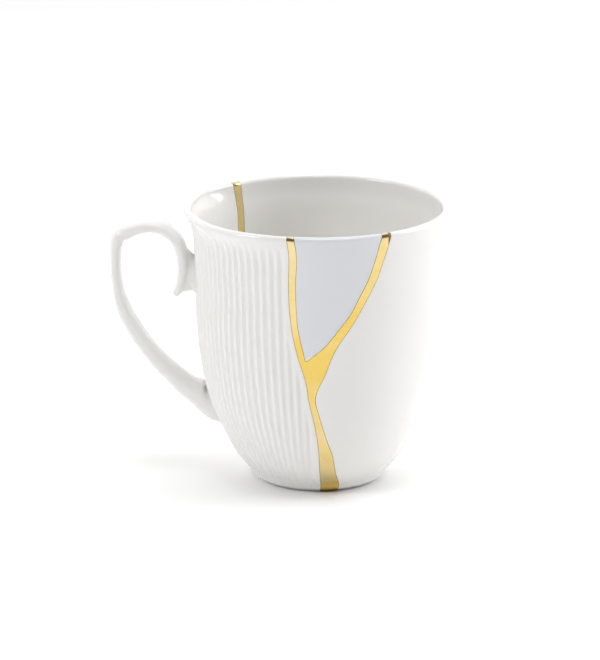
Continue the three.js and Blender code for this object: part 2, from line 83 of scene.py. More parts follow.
# The cove between inner floor and wall: its rise, the radius over which it dies out, the height
# where it ends, and the height over which it does.
COVE_RISE = 1.35
COVE_SPREAD = 3.2
COVE_TOP = 12.0
COVE_FADE = 8.0

# Outer profiles: height as a share of the wall's, radius as a share of the plain rim's.
PLAIN_PROFILE = np.array([
    (0.03568, 0.5392), (0.063, 0.586), (0.0955, 0.6415), (0.1375, 0.695), (0.19, 0.7465),
    (0.254, 0.791), (0.327, 0.834), (0.423, 0.8765), (0.529, 0.918), (0.634, 0.942),
    (0.74, 0.962), (0.846, 0.978), (0.909, 0.9865), (0.952, 0.997), (1, 1),
])
FLUTED_PROFILE = np.array([
    (0.03568, 0.5392), (0.063, 0.588), (0.0955, 0.638), (0.1375, 0.69), (0.19, 0.744),
    (0.254, 0.808), (0.327, 0.859), (0.423, 0.901), (0.529, 0.9285), (0.634, 0.943),
    (0.74, 0.94), (0.846, 0.954), (0.909, 0.961), (0.952, 0.984), (0.983, 1.0175), (1, 1.034),
])

# Borders between gold and porcelain: height as a share of the mug's, azimuth in degrees.
FLUTED_BORDER = np.array([
    (0, 2.6), (0.046, 1.1), (0.087, 0.4), (0.188, -0.4), (0.279, -2.1), (0.345, -4),
    (0.395, -5.4), (0.445, -6.1), (0.488, -7.4), (0.546, -9.6), (0.604, -11.4), (0.66, -12.7),
    (0.722, -13.5), (0.83, -13.8), (0.945, -13.5), (1, -14.4),
])
REAR_SEAM = np.array([
    (0, -147), (0.2, -143), (0.41, -139), (0.62, -136.5), (0.83, -138.8), (0.92, -138.6),
    (1, -137.8),
])
REAR_SEAM_WIDTH = 3.4
SEAM_AT_CENTRE = 3.0
# Between porcelain and gold, so that no two faces coincide.
SEAM_GAP = 0.02


def through(points, x):
    """A smooth curve through points: cubic pieces, each point's slope that of the parabola through
    it and its two neighbours, and level beyond both ends."""
    px, py = points[:, 0], points[:, 1]
    width = np.diff(px)
    chord = np.diff(py) / width
    middle = (chord[:-1] * width[1:] + chord[1:] * width[:-1]) / (width[:-1] + width[1:])
    slope = np.concatenate([chord[:1], middle, chord[-1:]])
    x = np.clip(x, px[0], px[-1])
    i = np.clip(np.searchsorted(px, x, side="right") - 1, 0, len(width) - 1)
    t = (x - px[i]) / width[i]
    bend = t * t * (3 - 2 * t)
    return (
        py[i] * (1 - bend) + py[i + 1] * bend
        + width[i] * t * (1 - t) * (slope[i] * (1 - t) - slope[i + 1] * t)
    )


def ramp(x, start, end):
    """0 at start, 1 at end, straight between and level beyond."""
    return np.clip((x - start) / (end - start), 0, 1)


def soft(x, start, end):
    """As ramp, eased in and out: t squared times (3 - 2 t)."""
    t = ramp(x, start, end)
    return t * t * (3 - 2 * t)


def wall_contour(profile, heights):
    """The wall's outline in radius and height: up the outer profile, half a circle over the lip,
    and down the inner face, which lies one wall thickness in along the outer normal."""
    radius = RIM_RADIUS * through(profile, heights / WALL_TOP)
    step = 0.25
    above = RIM_RADIUS * through(profile, np.minimum(heights + step, WALL_TOP) / WALL_TOP)
    below = RIM_RADIUS * through(profile, (heights - step) / WALL_TOP)
    lean = np.arctan2(above - below, 2 * step)
    lean *= 1 - soft(heights, WALL_TOP - LEVEL_STRETCH, WALL_TOP)
    wall = WALL_AT_FOOT + (WALL_AT_LIP - WALL_AT_FOOT) * ramp(heights, 0, WALL_TOP)
    lip_r = radius[-1] - LIP_ROUNDING + LIP_ROUNDING * np.cos(LIP_TURN)
    lip_z = WALL_TOP + LIP_ROUNDING * np.sin(LIP_TURN)
    inner_r = (radius - wall * np.cos(lean))[::-1]
    inner_z = (heights + wall * np.sin(lean))[::-1]
    return np.concatenate([radius, lip_r, inner_r]), np.concatenate([heights, lip_z, inner_z])


def base_contour():
    """Under the base, from the middle out: straight runs between the corners, each corner rounded
    by a moving average whose weights are a bell, exp of minus half the squared share of its spread.
    The stops along the run are closest over the foot ring."""
    run = np.concatenate([[0], np.cumsum(np.hypot(*np.diff(BASE_CORNERS, axis=0).T))])
    fine = np.arange(0, run[-1], CORNER_STEP)
    bell = np.exp(-0.5 * (np.arange(-CORNER_REACH, CORNER_REACH + 1) / CORNER_SPREAD) ** 2)
    bell /= bell.sum()
    rounded = []
    for axis in (0, 1):
        straight = np.interp(fine, run, BASE_CORNERS[:, axis])
        padded = np.pad(straight, CORNER_REACH, mode="reflect", reflect_type="odd")
        rounded.append(np.convolve(padded, bell, "valid"))
    stops = np.concatenate([
        np.linspace(0, 13, 9), np.linspace(13.6, 17.4, 12), np.linspace(18, 22, 8),
        np.linspace(22.4, run[-1] - 0.2, 10),
    ])
    return np.interp(stops, fine, rounded[0]), np.maximum(np.interp(stops, fine, rounded[1]), 0)


def cup_section(wall_heights):
    """One closed outline of the cup, row by row: out under the base, up the wall, over the lip,
    down the inner face and in across the inner floor. Row s and row -1 - s face each other."""
    base_r, base_z = base_contour()
    section = {}
    for kind, profile in (("plain", PLAIN_PROFILE), ("fluted", FLUTED_PROFILE)):
        wall_r, wall_z = wall_contour(profile, wall_heights)
        share = (base_r - CENTRE_RADIUS) / (FOOT_RADIUS - CENTRE_RADIUS)
        floor_r = (CENTRE_RADIUS + share * (wall_r[-1] - CENTRE_RADIUS))[::-1]
        r = np.concatenate([base_r, wall_r, floor_r])
        z = np.concatenate([base_z, wall_z, np.full(len(floor_r), FLOOR_TOP)])
        # The corner between the inner floor and the wall is a soft cove, as a jigger leaves it.
        cove = COVE_RISE * np.exp(-np.abs(r - wall_r[-1]) / COVE_SPREAD)
        inside = np.arange(len(r)) > len(r) // 2
        z = np.where(inside, np.maximum(z, FLOOR_TOP) + cove * soft(COVE_TOP - z, 0, COVE_FADE), z)
        normal = np.stack([np.gradient(z), -np.gradient(r)], axis=1)
        normal /= np.linalg.norm(normal, axis=1)[:, None]
        section[kind] = {"r": r, "z": z, "normal": normal}
    lip = WALL_TOP + LIP_ROUNDING * np.sin(LIP_TURN)
    half = np.concatenate([np.zeros(len(base_r)), wall_heights])
    section["height"] = np.concatenate([half, lip, half[::-1]])
    rows = len(section["height"])
    section["base"] = np.minimum(np.arange(rows), rows - 1 - np.arange(rows)) < len(base_r)
    outside = np.arange(rows) <= rows // 2
    section["outside"] = outside
    section["foot"] = np.where(outside, FOOT_RADIUS, section["plain"]["r"][rows - 1 - len(base_r)])
    return section


def seam_border(section, at_height, middle_at_foot, half_at_foot, side, inset):
    """Azimuth of one side of a seam, row by row, moved off the gold by inset millimetres. On the
    wall it follows at_height; on the base the seam is a straight band whose half width goes evenly
    from that at the foot to that at the centre, and its angle is the arc sine of half width over
    radius, held below 1."""
    radius = section["plain"]["r"]
    on_wall = at_height(section["height"]) + side * np.degrees(inset / radius)
    at_foot = section["foot"] * math.sin(math.radians(half_at_foot))
    half = SEAM_AT_CENTRE / 2 + (at_foot - SEAM_AT_CENTRE / 2) * radius / section["foot"] + inset
    on_base = middle_at_foot + side * np.degrees(np.arcsin(np.minimum(half / radius, 0.999)))
    return np.where(section["base"], on_base, on_wall)


def front_left(height):
    """Azimuth of the gold's left side at the front."""
    return through(FLUTED_BORDER, height / HEIGHT)


def rear_half_turn(height):
    """Half the rear seam's width as an angle: the arc sine of half the width over the radius."""
    radius = RIM_RADIUS * through(PLAIN_PROFILE, np.maximum(height, FOOT_HEIGHT) / WALL_TOP)
    return np.degrees(np.arcsin(REAR_SEAM_WIDTH / 2 / radius))


def rear_right(height):
    """Azimuth of the rear seam's side towards the fluted shard."""
    return through(REAR_SEAM, height / HEIGHT) + rear_half_turn(height)


# Where each seam crosses the foot: azimuth of its middle and half its width, in degrees.
PLAIN_SIDE_AT_FOOT = 16.55
FRONT_AT_FOOT = (
    (front_left(FOOT_HEIGHT) + PLAIN_SIDE_AT_FOOT) / 2,
    (PLAIN_SIDE_AT_FOOT - front_left(FOOT_HEIGHT)) / 2,
)
REAR_AT_FOOT = (
    through(REAR_SEAM, np.array(FOOT_HEIGHT / HEIGHT)),
    rear_half_turn(np.array(FOOT_HEIGHT)),
)

# Azimuths from which and by which the lip flares, off the front seam and off the rear one.
FRONT_FLARE = (-8, -45)
REAR_FLARE = (-142, -117)


def flare(azimuth):
    """How far the wall follows the flared profile: 0 beside the seams, 1 between them."""
    return np.minimum(ramp(azimuth, *FRONT_FLARE), ramp(azimuth, *REAR_FLARE))


def cup_points(section, azimuth, offset, flared):
    """Grid of points: row s of the section turned to each azimuth, x = r sin, y = -r cos about the
    cup's axis, moved offset millimetres along the section's outward normal."""
    weight = flare(azimuth) if flared else np.zeros_like(azimuth)

    def mixed(plain, fluted):
        return plain[:, None] * (1 - weight) + fluted[:, None] * weight

    plain, fluted = section["plain"], section["fluted"]
    outward = mixed(plain["normal"][:, 0], fluted["normal"][:, 0])
    upward = mixed(plain["normal"][:, 1], fluted["normal"][:, 1])
    r = mixed(plain["r"], fluted["r"]) + offset * outward
    z = mixed(plain["z"], fluted["z"]) + offset * upward
    turn = np.radians(azimuth)
    x, y = AXIS_X + r * np.sin(turn), AXIS_Y - r * np.cos(turn)
    return np.stack([x, y, np.maximum(z, 0)], axis=-1)


def grid_faces(rows, columns, first=0, closed=False):
    """Quads of a grid whose points are numbered row by row. Closed joins its last row to its
    first."""
    s = np.arange(rows if closed else rows - 1)[:, None]
    j = np.arange(columns - 1)[None, :]
    above = (s + 1) % rows
    quads = np.stack([
        s * columns + j, s * columns + j + 1, above * columns + j + 1, above * columns + j,
    ], axis=-1)
    return (first + quads.reshape(-1, 4)).tolist()


def edge_faces(rows, columns, column, first=0, lowest=0):
    """The broken edge along one column: row s is joined to row -1 - s, from row lowest up to the
    lip, where the last face is a triangle. The last column's faces are turned over."""
    crest = rows // 2
    faces = []
    for s in range(lowest, crest):
        ring = [s, s + 1, rows - 2 - s, rows - 1 - s]
        if s + 1 == crest:
            ring = [s, s + 1, rows - 1 - s]
        if column:
            ring = ring[::-1]
        faces.append([first + row * columns + (column % columns) for row in ring])
    return faces


def shard_faces(shape):
    """A shard's faces: the grid closed over both sides of the wall, and its two broken edges."""
    edges = edge_faces(*shape, column=0) + edge_faces(*shape, column=-1)
    return grid_faces(*shape, closed=True) + edges


MERGE_DISTANCE = 0.002 * MM


def make_mesh(name, points, faces, attributes=None):
    """A smooth-shaded object from points in millimetres. Each attribute is a number per point.
    Points that coincide are merged, which also drops faces of no width."""
    mesh = bpy.data.meshes.new(name)
    mesh.from_pydata((points.reshape(-1, 3) * MM).tolist(), [], faces)
    for attribute, values in (attributes or {}).items():
        layer = mesh.attributes.new(attribute, "FLOAT", "POINT")
        layer.data.foreach_set("value", values.ravel().astype(np.float32))
    work = bmesh.new()
    work.from_mesh(mesh)
    bmesh.ops.remove_doubles(work, verts=work.verts, dist=MERGE_DISTANCE)
    work.to_mesh(mesh)
    work.free()
    mesh.shade_smooth()
    made = bpy.data.objects.new(name, mesh)
    bpy.context.scene.collection.objects.link(made)
    return made


# How wide a broken edge is worn round, and the columns of the mesh across it.
EDGE_ROUNDING = 0.16
EDGE_STEPS = EDGE_ROUNDING * np.array([0, 0.06, 0.16, 0.32, 0.55, 0.8, 1])


def worn_edge(distance):
    """How far a broken edge is worn down at a distance from it: a quarter circle."""
    rest = np.clip(EDGE_ROUNDING - distance, 0, EDGE_ROUNDING)
    return EDGE_ROUNDING - np.sqrt(np.maximum(EDGE_ROUNDING**2 - rest**2, 0))


def shard_columns(section, left, right, between):
    """Azimuths row by row: a few close columns beside each border for its worn edge, and between
    them columns at fixed azimuths, held within the borders."""
    beside = np.degrees(EDGE_STEPS[None, :] / section["plain"]["r"][:, None])
    room = ((right - left) / 2)[:, None]
    beside = np.minimum(beside, room)
    low = left[:, None] + beside
    high = right[:, None] - beside[:, ::-1]
    held = np.clip(between, low[:, -1:], high[:, :1])
    return np.concatenate([low, held, high], axis=1)


def border_distance(section, azimuth, left, right):
    """Millimetres along the surface to the nearer border."""
    turn = np.minimum(azimuth - left[:, None], right[:, None] - azimuth)
    return np.radians(turn) * section["plain"]["r"][:, None]


# Reeds, in degrees: their pitch, the azimuth of one crest and the plain margin beside a seam.
REED_PITCH = 3.85
REED_CREST = -18.9
REED_MARGIN = 1.6
# In millimetres: their depth, the radius from which it is full, and the heights of their fading.
REED_DEPTH = 0.6
REED_FULL_RADIUS = 0.9 * RIM_RADIUS
REED_FADE_AT_LIP = (WALL_TOP - 6.5, WALL_TOP - 1.6)
REED_FADE_AT_FOOT = (0.5, 2.4)
# Columns of the mesh across one reed, and the reeds from the rear seam to past the front one.
ACROSS_A_REED = np.arange(-4, 6) / 10
REED_NUMBERS = np.arange(-34, 7)


def reeds(section, azimuth, left, right):
    """Depth below the reeds' crests: one minus the cosine, halved, across a reed, shallower with
    the cube of the radius where the wall is narrow. It fades at the lip, at the foot and beside
    both seams, and is nothing inside the cup."""
    wave = (1 - np.cos(2 * np.pi * (azimuth - REED_CREST) / REED_PITCH)) / 2
    narrow = np.minimum(1, section["plain"]["r"][:, None] / REED_FULL_RADIUS) ** 3
    start, end = left[:, None] + REED_MARGIN, right[:, None] - REED_MARGIN
    beside = soft(azimuth, start, start + REED_PITCH / 2) * soft(azimuth, end, end - REED_PITCH / 2)
    lip = 1 - soft(section["height"][:, None], *REED_FADE_AT_LIP)
    foot = soft(section["plain"]["z"][:, None], *REED_FADE_AT_FOOT)
    return REED_DEPTH * wave * narrow * beside * lip * foot * section["outside"][:, None]


shard_section = cup_section(np.concatenate([
    np.linspace(FOOT_HEIGHT, 84, 52), np.linspace(85.2, WALL_TOP, 12),
]))
fluted_left = seam_border(shard_section, rear_right, *REAR_AT_FOOT, 1, SEAM_GAP)
fluted_right = seam_border(shard_section, front_left, *FRONT_AT_FOOT, -1, SEAM_GAP)
reed_columns = REED_CREST + REED_PITCH * (REED_NUMBERS[:, None] + ACROSS_A_REED[None, :])
fluted_azimuth = shard_columns(shard_section, fluted_left, fluted_right, reed_columns.ravel())
fluted_offset = (
    -worn_edge(border_distance(shard_section, fluted_azimuth, fluted_left, fluted_right))
    - reeds(shard_section, fluted_azimuth, fluted_left, fluted_right)
)
wall_points = cup_points(shard_section, fluted_azimuth, fluted_offset, flared=True)


# Fluted shard, the handle.
# A pulled strip of the same porcelain, luted on while leather-hard: a flared root low on the wall,
# a long arm, an angular shoulder, and an end that curls back and is tied to the wall by a web.

HANDLE_AZIMUTH = -94.0
HANDLE_REACH = 28.5
HANDLE_THICKNESS = 3.9
HANDLE_WIDTH = 10.0
# Power of the strip's cross-section: 2 is an ellipse, and more is squarer.
ROUNDNESS = 2.6
STRIP_RINGS = 190
STRIP_SIDES = 36

# Out from the wall as a share of the reach, height as a share of the mug's, thickness and width as
# shares of the strip's own.
HANDLE_PATH = np.array([
    (0.16, 0.302, 2.2, 1.12), (0.235, 0.3165, 1.96, 1.02), (0.338, 0.3496, 1.75, 0.96),
    (0.575, 0.4343, 1.46, 0.93), (0.757, 0.5217, 1.36, 0.92), (0.872, 0.5945, 1.28, 0.92),
    (0.939, 0.657, 1.08, 0.94), (0.976, 0.7273, 0.96, 0.97), (0.968, 0.7956, 0.99, 1),
    (0.943, 0.849, 1.18, 1.03), (0.899, 0.8785, 1.32, 1.04), (0.82, 0.8905, 1.34, 1.04),
    (0.6825, 0.9058, 1.18, 1.02), (0.492, 0.9149, 1.13, 1), (0.369, 0.9069, 1.14, 0.99),
    (0.2727, 0.885, 1.04, 0.98), (0.1975, 0.855, 1.02, 0.98), (0.1583, 0.8195, 1.06, 0.98),
    (0.148, 0.781, 1.05, 0.97), (0.162, 0.7424, 1.03, 0.94), (0.185, 0.704, 0.98, 0.9),
    (0.211, 0.683, 0.9, 0.83), (0.236, 0.6705, 0.74, 0.72),
])
# The lower root: how deep it sits in the wall, its length and width there, and its height.
ROOT_DEPTH = 1.6
ROOT_LENGTH = 13.2
ROOT_WIDTH = 13.0
ROOT_HEIGHT = 0.252 * HEIGHT
# The wall's slope at the root is taken over this much above and below.
ROOT_REACH = 4.0


def fluted_radius(height):
    """Outer radius of the fluted wall."""
    return RIM_RADIUS * through(FLUTED_PROFILE, height / WALL_TOP)


def swept(centre, across, half_thick, half_wide, sides):
    """A strip in the handle's upright plane: at each centre (out, up) a superellipse, cos and sin
    to the power 2 / ROUNDNESS, spanned by the across direction and the one square to the plane."""
    turn = -2 * np.pi * np.arange(sides) / sides
    x, y = (np.sign(w) * np.abs(w) ** (2 / ROUNDNESS) for w in (np.cos(turn), np.sin(turn)))
    plane = centre[:, None, :] + (half_thick[:, None] * x)[..., None] * across[:, None, :]
    side = half_wide[:, None] * y
    azimuth = math.radians(HANDLE_AZIMUTH)
    return np.stack([
        AXIS_X + plane[..., 0] * math.sin(azimuth) + side * math.cos(azimuth),
        AXIS_Y - plane[..., 0] * math.cos(azimuth) + side * math.sin(azimuth),
        plane[..., 1],
    ], axis=-1)


def tube_faces(rings, sides, first):
    """Quads round a swept strip, and a flat cap of one face on each end."""
    k = np.arange(rings - 1)[:, None] * sides
    i = np.arange(sides)[None, :]
    beyond = (i + 1) % sides
    quads = np.stack([k + i, k + beyond, k + sides + beyond, k + sides + i], axis=-1).reshape(-1, 4)
    start = np.arange(sides)[::-1]
    end = (rings - 1) * sides + np.arange(sides)
    return (first + quads).tolist() + [(first + start).tolist(), (first + end).tolist()]


strip_height = HANDLE_PATH[:, 1] * HEIGHT
strip_out = fluted_radius(strip_height) + HANDLE_PATH[:, 0] * HANDLE_REACH
strip_centre = np.stack([strip_out, strip_height], axis=1)
# The strip's direction at each station, and the turn of its cross-section square to it.
strip_run = np.gradient(strip_centre, axis=0)
strip_turn = np.arctan2(strip_run[:, 0], -strip_run[:, 1])
root_radius = fluted_radius(ROOT_HEIGHT)
root_centre = np.array([(root_radius - ROOT_DEPTH, ROOT_HEIGHT), (root_radius, ROOT_HEIGHT)])
root_rise = fluted_radius(ROOT_HEIGHT + ROOT_REACH) - fluted_radius(ROOT_HEIGHT - ROOT_REACH)
root_turn = math.atan2(2 * ROOT_REACH, root_rise)
station_centre = np.concatenate([root_centre, strip_centre])
station_turn = np.unwrap(np.concatenate([[root_turn, root_turn], strip_turn]))
station_thick = np.concatenate([[ROOT_LENGTH / 2] * 2, HANDLE_THICKNESS * HANDLE_PATH[:, 2] / 2])
station_wide = np.concatenate([[ROOT_WIDTH / 2] * 2, HANDLE_WIDTH * HANDLE_PATH[:, 3] / 2])
station_run = np.concatenate([[0], np.cumsum(np.hypot(*np.diff(station_centre, axis=0).T))])
ring_run = np.linspace(0, station_run[-1], STRIP_RINGS)


def along_strip(values):
    """Values at the stations, carried smoothly to every ring."""
    return through(np.stack([station_run, values], axis=1), ring_run)


# The end of the curl is rounded off over its own half thickness: a quarter circle of rings.
CURL_RINGS = 8
CURL_END = 84
curl_turn = np.radians(np.linspace(0, CURL_END, CURL_RINGS + 1)[1:])
curl_out = np.sin(curl_turn) * station_thick[-1]
curl_scale = np.cos(curl_turn)
last_run = station_centre[-1] - station_centre[-2]
last_run /= np.hypot(*last_run)
ring_centre = np.stack([along_strip(station_centre[:, axis]) for axis in (0, 1)], axis=1)
ring_centre = np.concatenate([ring_centre, ring_centre[-1] + curl_out[:, None] * last_run])
ring_turn = np.concatenate([along_strip(station_turn), np.full(CURL_RINGS, station_turn[-1])])
ring_thick = np.concatenate([along_strip(station_thick), curl_scale * station_thick[-1]])
ring_wide = np.concatenate([along_strip(station_wide), curl_scale * station_wide[-1]])
ring_across = np.stack([np.cos(ring_turn), np.sin(ring_turn)], axis=1)
strip_points = swept(ring_centre, ring_across, ring_thick, ring_wide, STRIP_SIDES)

# Web: out from the wall as a share of the reach, its lower and upper edge as shares of the mug's
# height, and its width in millimetres.
WEB_MIDDLE = 0.74 * HEIGHT
WEB_PATH = np.array([
    (-0.056, 0.664, 0.806, 7.8), (0, 0.664, 0.806, 7.8), (0.04, 0.6745, 0.811, 7.5),
    (0.095, 0.675, 0.826, 7.6), (0.147, 0.671, 0.838, 7.8), (0.19, 0.674, 0.8, 7),
])
WEB_RINGS = 30
WEB_SIDES = 32
web_out = np.linspace(WEB_PATH[0, 0], WEB_PATH[-1, 0], WEB_RINGS)
web_low, web_high, web_wide = (through(WEB_PATH[:, [0, column]], web_out) for column in (1, 2, 3))
web_centre = np.stack([
    fluted_radius(WEB_MIDDLE) + web_out * HANDLE_REACH, (web_low + web_high) / 2 * HEIGHT,
], axis=1)
web_across = np.tile([0.0, 1.0], (WEB_RINGS, 1))
web_points = swept(
    web_centre, web_across, (web_high - web_low) / 2 * HEIGHT, web_wide / 2, WEB_SIDES,
)

wall_count = wall_points.size // 3
strip_count = strip_points.size // 3
fluted_shard = make_mesh(
    "fluted_porcelain",
    np.concatenate([part.reshape(-1, 3) for part in (wall_points, strip_points, web_points)]),
    shard_faces(fluted_azimuth.shape)
    + tube_faces(len(ring_centre), STRIP_SIDES, wall_count)
    + tube_faces(WEB_RINGS, WEB_SIDES, wall_count + strip_count),
)


def linear(colour):
    """A hex sRGB colour as linear red, green, blue and alpha 1."""
    parts = [int(colour[i:i + 2], 16) / 255 for i in (0, 2, 4)]
    return [c / 12.92 if c <= 0.04045 else ((c + 0.055) / 1.055) ** 2.4 for c in parts] + [1.0]


def per_mm(size):
    """The scale at which a pattern on metre coordinates repeats every size millimetres."""
    return 1000.0 / size


def new_material(name):
    """A material with an empty node tree."""
    material = bpy.data.materials.new(name)
    material.use_nodes = True
    material.node_tree.nodes.clear()
    return material


def add(tree, kind, inputs, **settings):
    """Adds a node with its settings; each input is a value, or the output socket it is linked to.
    A Mix node's inputs go by number: 0 its factor, 2 and 3 its numbers, 6 and 7 its colours."""
    made = tree.nodes.new(kind)
    for name, value in settings.items():
        setattr(made, name, value)
    for key, value in inputs.items():
        socket = made.inputs[key]
        if isinstance(value, bpy.types.NodeSocket):
            tree.links.new(value, socket)
        else:
            socket.default_value = value
    return made


BARE_CLAY = "E2DDD2"
# The foot ring is wiped bare up to the first of these heights, and glazed from the second on.
BARE_TO = 0.15 * MM
GLAZED_FROM = 0.4 * MM


def glazed_porcelain(name, glaze_pooled, glaze_thin):
    """Porcelain under a clear glaze: smooth and glossy, a shade apart where the glaze pools and
    where it is thin, in patches about 34 mm across, with a very faint orange-peel ripple of 5 mm.
    The flat of the foot ring is wiped bare, so it is matt."""
    material = new_material(name)
    tree = material.node_tree
    place = add(tree, "ShaderNodeTexCoord", {})
    ripple = add(tree, "ShaderNodeTexNoise", {
        "Vector": place.outputs["Object"], "Scale": per_mm(5), "Detail": 2.0, "Roughness": 0.45,
    })
    pooling = add(tree, "ShaderNodeTexNoise", {
        "Vector": place.outputs["Object"], "Scale": per_mm(34), "Detail": 3.0, "Roughness": 0.5,
    })
    shade = add(tree, "ShaderNodeMix", {
        0: pooling.outputs["Fac"], 6: linear(glaze_pooled), 7: linear(glaze_thin),
    }, data_type="RGBA")
    height = add(tree, "ShaderNodeSeparateXYZ", {"Vector": place.outputs["Object"]})
    bare = add(tree, "ShaderNodeMapRange", {
        "Value": height.outputs["Z"], "From Min": BARE_TO, "From Max": GLAZED_FROM,
        "To Min": 1.0, "To Max": 0.0,
    })
    colour = add(tree, "ShaderNodeMix", {
        0: bare.outputs["Result"], 6: shade.outputs[2], 7: linear(BARE_CLAY),
    }, data_type="RGBA")
    glaze_roughness = add(tree, "ShaderNodeMapRange", {
        "Value": ripple.outputs["Fac"], "From Min": 0.3, "From Max": 0.7,
        "To Min": 0.08, "To Max": 0.13,
    })
    roughness = add(tree, "ShaderNodeMix", {
        0: bare.outputs["Result"], 2: glaze_roughness.outputs["Result"], 3: 0.7,
    }, data_type="FLOAT")
    bump = add(tree, "ShaderNodeBump", {
        "Height": ripple.outputs["Fac"], "Distance": 0.02 * MM, "Strength": 0.6,
    })
    shader = add(tree, "ShaderNodeBsdfPrincipled", {
        "Base Color": colour.outputs[2], "Roughness": roughness.outputs[0], "IOR": 1.52,
        "Normal": bump.outputs["Normal"],
    })
    add(tree, "ShaderNodeOutputMaterial", {"Surface": shader.outputs["BSDF"]})
    return material


white_porcelain = glazed_porcelain("white_glazed_porcelain", "F0EFED", "ECEBE8")
fluted_shard.data.materials.append(white_porcelain)
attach(fluted_shard, "root")
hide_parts("ribbed_shard")


# Plain shard.
# The other half of the vessel, from a plain cast porcelain cup whose lip doesn't flare. White clear
# glaze inside and out, foot ring wiped bare, broken edges worn a little round.

# Its border with the gold at the front: height as a share of the mug's, azimuth in degrees.
PLAIN_BORDER = np.array([
    (0, 20.2), (0.042, 15.7), (0.084, 11.9), (0.137, 9.3), (0.171, 8.1), (0.204, 6),
    (0.279, 2.2), (0.345, -0.4), (0.396, -1.9), (0.44, -0.4), (0.492, 2.8), (0.548, 5.3),
    (0.607, 9), (0.659, 13.6), (0.765, 21.3), (0.848, 26.6), (0.933, 30), (1, 32.6),
])


def front_right(height):
    """Azimuth of the gold's right side at the front."""
    return through(PLAIN_BORDER, height / HEIGHT)


def rear_left(height):
    """Azimuth of the rear seam's side towards the plain shard."""
    return through(REAR_SEAM, height / HEIGHT) - rear_half_turn(height)


plain_left = seam_border(shard_section, front_right, *FRONT_AT_FOOT, 1, SEAM_GAP)
plain_right = seam_border(shard_section, rear_left, *REAR_AT_FOOT, -1, SEAM_GAP) + 360
plain_columns = np.arange(-4, 226, 1.25)
plain_azimuth = shard_columns(shard_section, plain_left, plain_right, plain_columns)
plain_offset = -worn_edge(border_distance(shard_section, plain_azimuth, plain_left, plain_right))
plain_shard = make_mesh(
    "plain_porcelain",
    cup_points(shard_section, plain_azimuth, plain_offset, flared=False),
    shard_faces(plain_azimuth.shape),
)
plain_shard.data.materials.append(white_porcelain)
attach(plain_shard, "root")
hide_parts("smooth_shard")


# Pale shard.
# A wedge from a third cup, let into the rim with its point down. Porcelain under a glaze with a
# trace of cobalt, so it is a cool grey white beside its neighbours.

# Its point and its two borders: height as a share of the mug's, azimuth in degrees.
TIP_SHARE = 0.546
PALE_LEFT = np.array([
    (0.546, -6.5), (0.568, -7.1), (0.606, -8.2), (0.661, -9.6), (0.724, -10.2), (0.838, -10.4),
    (0.908, -9.9), (0.948, -10), (1, -11.1),
])
PALE_RIGHT = np.array([
    (0.546, -5.8), (0.57, -1.9), (0.601, 2.5), (0.633, 5.9), (0.661, 8.6), (0.722, 14.3),
    (0.768, 17.2), (0.843, 21.9), (0.904, 24.5), (0.966, 26.5), (1, 28),
])
# The lowest row of the shard, just above the point where its borders meet.
PALE_START = (TIP_SHARE + 0.001) * HEIGHT


def only_wall(section, rows_below):
    """The section without its lowest rows, on both faces of the wall."""
    kept = slice(rows_below, len(section["height"]) - rows_below)
    cut = {key: section[key][kept] for key in ("height", "base", "outside", "foot")}
    for kind in ("plain", "fluted"):
        cut[kind] = {key: section[kind][key][kept] for key in ("r", "z", "normal")}
    return cut


pale_section = cup_section(np.concatenate([
    np.linspace(PALE_START, 60, 30), np.linspace(60.6, WALL_TOP, 60),
]))
pale_section = only_wall(pale_section, int(np.sum(pale_section["base"])) // 2)
pale_inset = np.degrees(SEAM_GAP / pale_section["plain"]["r"])
pale_left = through(PALE_LEFT, pale_section["height"] / HEIGHT) + pale_inset
pale_right = through(PALE_RIGHT, pale_section["height"] / HEIGHT) - pale_inset
pale_azimuth = shard_columns(pale_section, pale_left, pale_right, np.arange(-12, 29, 1.0))
pale_offset = -worn_edge(border_distance(pale_section, pale_azimuth, pale_left, pale_right))
pale_shard = make_mesh(
    "pale_porcelain",
    cup_points(pale_section, pale_azimuth, pale_offset, flared=False),
    shard_faces(pale_azimuth.shape),
)
pale_porcelain = glazed_porcelain("pale_cobalt_glazed_porcelain", "E2E4E7", "DDE0E4")
pale_shard.data.materials.append(pale_porcelain)
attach(pale_shard, "root")
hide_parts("pale_shard")


# Gold seam.
# The repair: lacquer laid through the whole break and burnished with gold on every face that
# shows. Two arms from the rim, one stem over the foot and the base, and the rear arm. It stands
# almost flush, dips where it meets the glaze, and is brown in a hairline along that border. Painted
# dark reflections brown it below the lip's crest, round the foot ring and in a wedge on the right
# arm, and a painted highlight pales the crest.

# The gold's crown over the glaze and how far in it is full, its dip at the border and how far in
# that ends.
SEAM_CROWN = 0.08
CROWN_REACH = 1.6
SEAM_DIP = 0.06
SEAM_SHOULDER = 0.4
# The brown hairline: from where to where it dies out off the border, and its strength.
HAIRLINE = (0.06, 0.26)
HAIRLINE_STRENGTH = 0.5
# Below the pale shard's point, the stretch in which the two arms become one stem.
STEM_BLEND = 14.0
# A painted dark reflection on the right arm below the lip: a wedge, widest at the top.
WEDGE_LENGTH = 4.2
WEDGE_WIDTH = 1.2
# It is at full strength from this width on, darkest over this share of it, and soft past its edge.
WEDGE_FULL = 0.3
WEDGE_DARKEST_SHARE = 0.6
WEDGE_SOFT = 0.05
# Painted reflections on the lip's gold, in degrees up its outer quarter: a brown band for the dark
# horizon it mirrors, from the first pair to the second, and a pale highlight from the third.
BROWN_FROM = (6, 20)
BROWN_TO = (45, 60)
PALE_FROM = (52, 66)
# Painted dark reflection on the foot ring, where the gold mirrors the shadowed floor: outside this
# radius, up to these heights.
FOOT_REFLECTION_RADIUS = 20.5
FOOT_REFLECTION_HEIGHTS = (0.2, 1.5)
# Strength of the painted dark reflections at the lip and at the foot.
LIP_DARK_REFLECTION = 0.95
FOOT_DARK_REFLECTION = 0.8
